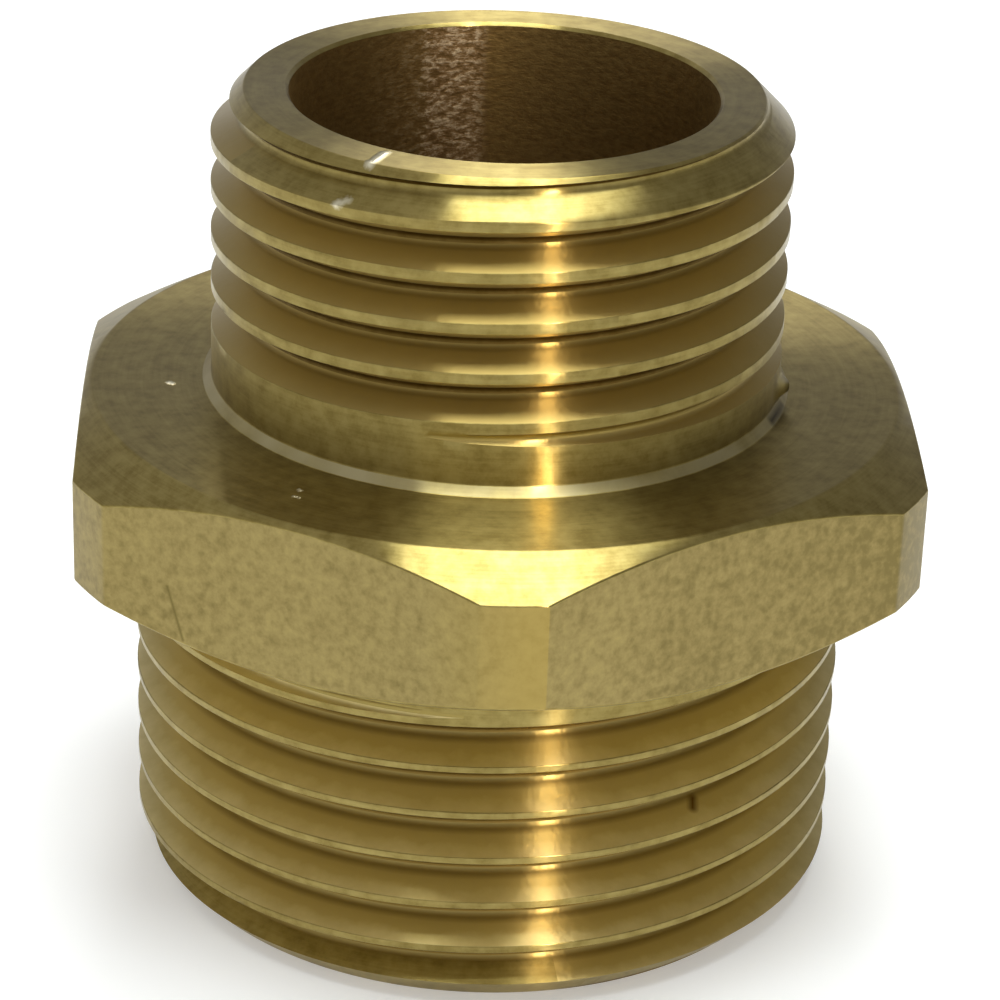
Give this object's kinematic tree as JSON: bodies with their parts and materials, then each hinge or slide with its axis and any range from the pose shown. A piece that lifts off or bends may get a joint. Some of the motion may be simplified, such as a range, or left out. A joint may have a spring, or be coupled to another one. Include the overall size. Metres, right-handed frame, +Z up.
{
  "type": "hexagon reducing pipe nipple",
  "caption": "One-piece brass reducing nipple: a hexagon for a spanner between a larger and a smaller male parallel pipe thread, bored right through.",
  "frame": {"origin": "centre of the lower end face, on the axis of the bore", "axes": "+Z up the bore from the larger thread to the smaller one, +X out of one hexagon flat, -Y out of the hexagon corner that faces the front"},
  "size_m": [0.03, 0.0334, 0.03],
  "materials": {
    "brass": "bare brass: turned threads, end faces and chamfers, dull drawn hexagon flats"
  },
  "bodies": {
    "root": {"nipple": "brass"}
  },
  "joints": []
}
